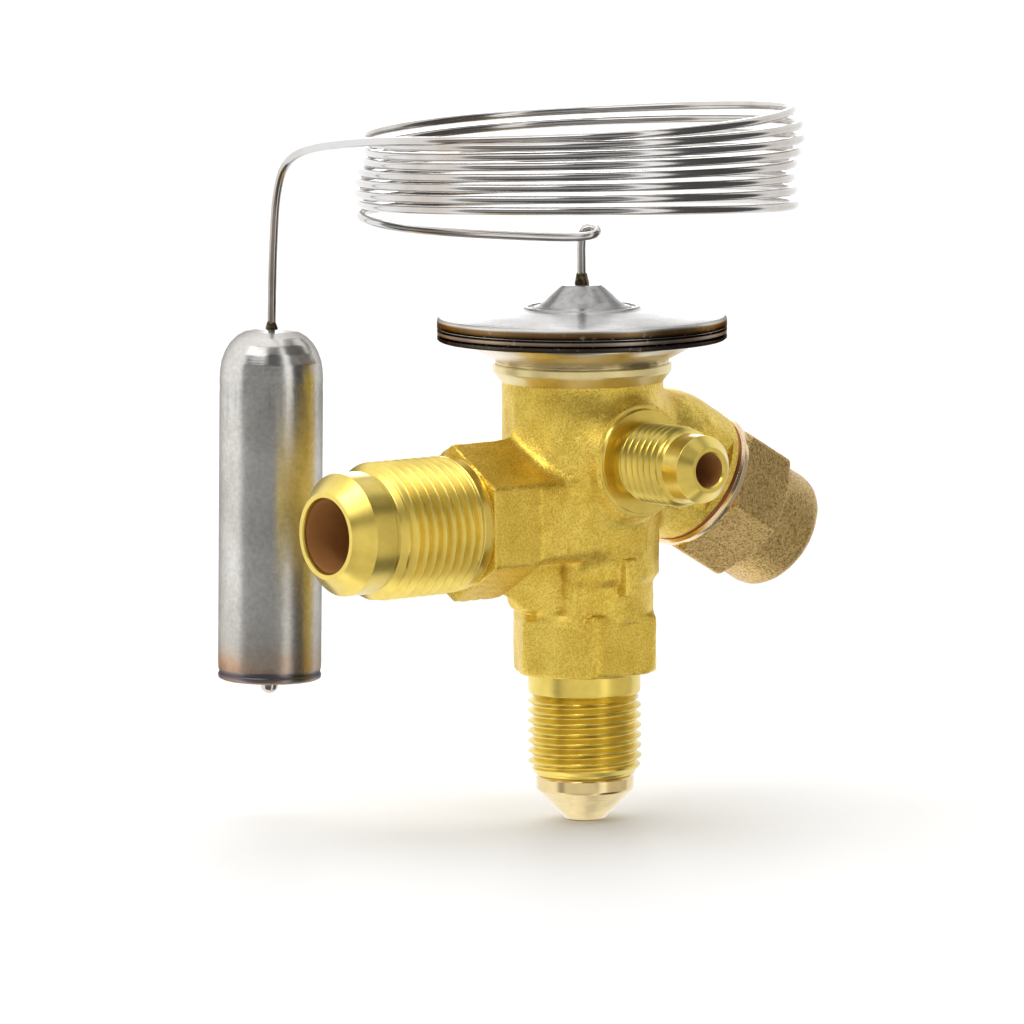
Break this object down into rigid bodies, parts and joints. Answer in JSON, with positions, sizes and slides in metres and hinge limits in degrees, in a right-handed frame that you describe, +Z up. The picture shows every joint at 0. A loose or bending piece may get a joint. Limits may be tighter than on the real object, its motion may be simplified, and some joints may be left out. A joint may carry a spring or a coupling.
{
  "type": "thermostatic expansion valve",
  "caption": "Angle-pattern brass refrigerant metering valve with flare connections, stainless diaphragm head, coiled capillary and sensing bulb.",
  "frame": {"origin": "centre of the inlet flare stub's end face", "axes": "+Z up the valve axis to the diaphragm head, -X out of the outlet, -Y out of the equalizer port; the adjusting neck leaves towards +X, 30 degrees below horizontal"},
  "size_m": [0.0836, 0.0654, 0.1004],
  "materials": {
    "forged_brass": "fine-grained forged, machined bright on threads and cones",
    "turned_brass": "turned",
    "bronze": "coarse grained",
    "copper": "soft copper",
    "joint_brass": "crimped edge",
    "stainless": "satin with a heat-tinted rim",
    "stainless_foil": "thin foil",
    "plain_steel": "turned",
    "spring_steel": "drawn wire",
    "seal_rubber": "matte",
    "zinc_steel": "zinc plated",
    "screen": "woven wire",
    "capillary_steel": "drawn, shiny",
    "bulb_steel": "satin, tool marks, heat tint at the end"
  },
  "bodies": {
    "valve": {"valve_body": "forged_brass", "body_joint_ring": "joint_brass", "lower_housing": "stainless", "upper_housing": "stainless", "diaphragm": "stainless_foil", "capillary_socket": "stainless", "rod_bushing": "turned_brass", "spindle_gland": "turned_brass", "superheat_spring": "spring_steel", "capillary_riser": "capillary_steel", "capillary_coil": "capillary_steel", "capillary_drop": "capillary_steel", "sensing_bulb": "bulb_steel", "bulb_end_disc": "bulb_steel", "bulb_fill_tip": "bulb_steel"},
    "stroke": {"thrust_pad": "plain_steel", "push_rod": "plain_steel"},
    "seat": {"spring_seat": "plain_steel"},
    "spindle_carrier": {"spindle_o_ring": "seal_rubber"},
    "spindle": {"adjusting_spindle": "plain_steel"},
    "cap_carrier": {"cap_gasket": "copper"},
    "cap": {"seal_cap": "bronze"},
    "orifice": {"orifice_head": "turned_brass", "orifice_sleeve": "zinc_steel", "orifice_seat": "plain_steel", "spring_retainer": "plain_steel", "cone_spring": "spring_steel", "inlet_strainer": "screen"},
    "cone": {"valve_cone": "plain_steel"}
  },
  "joints": [
    {"name": "valve_stroke", "type": "slide", "parent": "valve", "child": "stroke", "axis": [0, 0, -1], "range_m": [0, 0.0008], "deforming": ["diaphragm", "superheat_spring"]},
    {"name": "spindle_feed", "type": "slide", "parent": "valve", "child": "spindle_carrier", "axis": [-0.866, 0, 0.5], "range_m": [-0.002, 0.002]},
    {"name": "spindle_turn", "type": "hinge", "parent": "spindle_carrier", "child": "spindle", "pos_m": [0, 0, 0.0512], "axis": [-0.866, 0, 0.5], "range_deg": [-740, 740]},
    {"name": "seat_lift", "type": "slide", "parent": "valve", "child": "seat", "axis": [0, 0, 1], "range_m": [-0.00102, 0.00102]},
    {"name": "cap_feed", "type": "slide", "parent": "valve", "child": "cap_carrier", "axis": [0.866, 0, -0.5], "range_m": [0, 0.009]},
    {"name": "cap_turn", "type": "hinge", "parent": "cap_carrier", "child": "cap", "pos_m": [0, 0, 0.0512], "axis": [0.866, 0, -0.5], "range_deg": [-20, 3260]},
    {"name": "orifice_pull", "type": "slide", "parent": "valve", "child": "orifice", "axis": [0, 0, -1], "range_m": [0, 0.045]},
    {"name": "cone_stroke", "type": "slide", "parent": "orifice", "child": "cone", "axis": [0, 0, -1], "range_m": [0, 0.0008], "deforming": ["cone_spring"]}
  ],
  "couplings": [
    {"joint": "spindle_turn", "follows": "spindle_feed", "rad_per_m": 6283.2},
    {"joint": "seat_lift", "follows": "spindle_feed", "ratio": 0.5},
    {"joint": "cap_turn", "follows": "cap_feed", "rad_per_m": 6283.2},
    {"joint": "cone_stroke", "follows": "valve_stroke", "ratio": 1}
  ]
}
